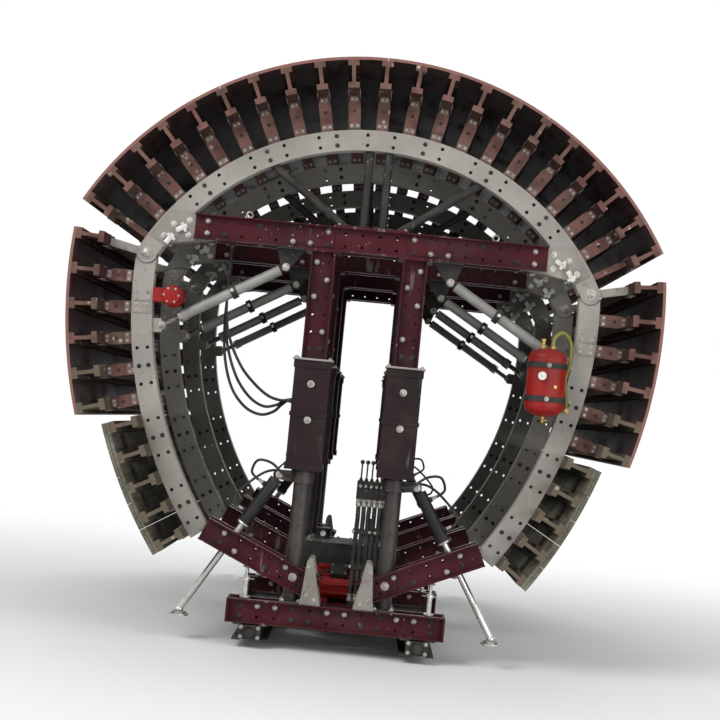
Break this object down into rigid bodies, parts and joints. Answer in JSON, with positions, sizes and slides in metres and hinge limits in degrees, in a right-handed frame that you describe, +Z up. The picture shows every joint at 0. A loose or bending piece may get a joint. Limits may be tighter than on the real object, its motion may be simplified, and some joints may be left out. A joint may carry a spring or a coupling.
{
  "type": "tunnel formwork carriage",
  "caption": "Tunnel formwork carriage: timber girders and plywood skin on curved steel rings, carried by a steel gantry on rail wheels, with folding sides and a lifting crown.",
  "frame": {"origin": "on the ground plane under the middle of the carriage", "axes": "+X across the tunnel to the right seen from the near end, +Y along the tunnel away from the near end, +Z up"},
  "size_m": [4.2282, 5.16, 4.2716],
  "materials": {
    "timber": "dusty",
    "plywood": "dusty",
    "board": "dusty",
    "ring_steel": "matt",
    "maroon_paint": "semi-gloss",
    "galvanised": "galvanised",
    "dark_steel": "dusty",
    "wheel_iron": "worn",
    "red_paint": "gloss",
    "black_paint": "gloss",
    "hose_rubber": "matt"
  },
  "bodies": {
    "carriage": {"base_beams": "maroon_paint", "sole_beams": "dark_steel", "telescopic_tubes": "galvanised", "brace_struts": "maroon_paint", "brace_brackets": "galvanised", "gantry_pins": "galvanised", "jack_barrels": "black_paint", "axle_pins": "galvanised", "pack_frame": "dark_steel", "pack_tank": "dark_steel", "pack_motor": "red_paint", "valve_stand": "dark_steel", "supply_hoses": "hose_rubber", "base_ties": "maroon_paint"},
    "wheel_nl": {"wheel_near_left": "wheel_iron"},
    "wheel_nr": {"wheel_near_right": "wheel_iron"},
    "wheel_fl": {"wheel_far_left": "wheel_iron"},
    "wheel_fr": {"wheel_far_right": "wheel_iron"},
    "jack_nl": {"jack_near_left": "galvanised"},
    "jack_nr": {"jack_near_right": "galvanised"},
    "jack_fl": {"jack_far_left": "galvanised"},
    "jack_fr": {"jack_far_right": "galvanised"},
    "crown": {"top_beams": "maroon_paint", "beam_brackets": "galvanised", "upper_posts": "maroon_paint", "post_sleeves": "dark_steel", "crown_ring_1": "ring_steel", "crown_ring_2": "ring_steel", "crown_ring_3": "ring_steel", "crown_ring_4": "ring_steel", "crown_girders": "timber", "crown_blocks": "timber", "crown_skin": "plywood", "crown_struts": "dark_steel", "hinge_pins": "galvanised", "spindle_brackets": "dark_steel", "trailing_cables": "hose_rubber", "crown_ties": "maroon_paint"},
    "left_side": {"left_rings": "ring_steel", "left_girders": "timber", "left_blocks": "timber", "left_skin": "plywood", "left_boards": "board", "vibrator": "red_paint"},
    "right_side": {"right_rings": "ring_steel", "right_girders": "timber", "right_blocks": "timber", "right_skin": "plywood", "right_boards": "board", "receiver": "red_paint", "receiver_straps": "dark_steel"},
    "left_barrel": {"left_barrels": "ring_steel"},
    "left_rod": {"left_rods": "galvanised"},
    "right_barrel": {"right_barrels": "ring_steel"},
    "right_rod": {"right_rods": "galvanised"}
  },
  "joints": [
    {"name": "wheel_nl_turn", "type": "hinge", "parent": "carriage", "child": "wheel_nl", "pos_m": [-0.6, -1.5, 0.12], "axis": [1, 0, 0], "continuous": true},
    {"name": "wheel_nr_turn", "type": "hinge", "parent": "carriage", "child": "wheel_nr", "pos_m": [0.6, -1.5, 0.12], "axis": [1, 0, 0], "continuous": true},
    {"name": "wheel_fl_turn", "type": "hinge", "parent": "carriage", "child": "wheel_fl", "pos_m": [-0.6, 1.5, 0.12], "axis": [1, 0, 0], "continuous": true},
    {"name": "wheel_fr_turn", "type": "hinge", "parent": "carriage", "child": "wheel_fr", "pos_m": [0.6, 1.5, 0.12], "axis": [1, 0, 0], "continuous": true},
    {"name": "jack_nl_extend", "type": "slide", "parent": "carriage", "child": "jack_nl", "axis": [-0.5199, 0, -0.8542], "range_m": [0, 0.16]},
    {"name": "jack_nr_extend", "type": "slide", "parent": "carriage", "child": "jack_nr", "axis": [0.5199, 0, -0.8542], "range_m": [0, 0.16]},
    {"name": "jack_fl_extend", "type": "slide", "parent": "carriage", "child": "jack_fl", "axis": [-0.5199, 0, -0.8542], "range_m": [0, 0.16]},
    {"name": "jack_fr_extend", "type": "slide", "parent": "carriage", "child": "jack_fr", "axis": [0.5199, 0, -0.8542], "range_m": [0, 0.16]},
    {"name": "crown_lift", "type": "slide", "parent": "carriage", "child": "crown", "axis": [0, 0, 1], "range_m": [0, 0.12]},
    {"name": "left_fold", "type": "hinge", "parent": "crown", "child": "left_side", "pos_m": [-1.61138, 0, 2.75679], "axis": [0, 1, 0], "range_deg": [0, 12]},
    {"name": "right_fold", "type": "hinge", "parent": "crown", "child": "right_side", "pos_m": [1.61138, 0, 2.75679], "axis": [0, -1, 0], "range_deg": [0, 12]},
    {"name": "left_barrel_swing", "type": "hinge", "parent": "crown", "child": "left_barrel", "pos_m": [-0.6, 0, 2.75], "axis": [0, 1, 0], "range_deg": [0, 2.03]},
    {"name": "left_rod_slide", "type": "slide", "parent": "left_barrel", "child": "left_rod", "axis": [-0.862, 0, -0.5069], "range_m": [0, 0.10615]},
    {"name": "right_barrel_swing", "type": "hinge", "parent": "crown", "child": "right_barrel", "pos_m": [0.6, 0, 2.75], "axis": [0, -1, 0], "range_deg": [0, 2.03]},
    {"name": "right_rod_slide", "type": "slide", "parent": "right_barrel", "child": "right_rod", "axis": [0.862, 0, -0.5069], "range_m": [0, 0.10615]}
  ],
  "couplings": [
    {"joint": "left_barrel_swing", "follows": "left_fold", "ratio": 0.16524},
    {"joint": "left_rod_slide", "follows": "left_fold", "m_per_rad": 0.50442},
    {"joint": "right_barrel_swing", "follows": "right_fold", "ratio": 0.16524},
    {"joint": "right_rod_slide", "follows": "right_fold", "m_per_rad": 0.50442}
  ]
}
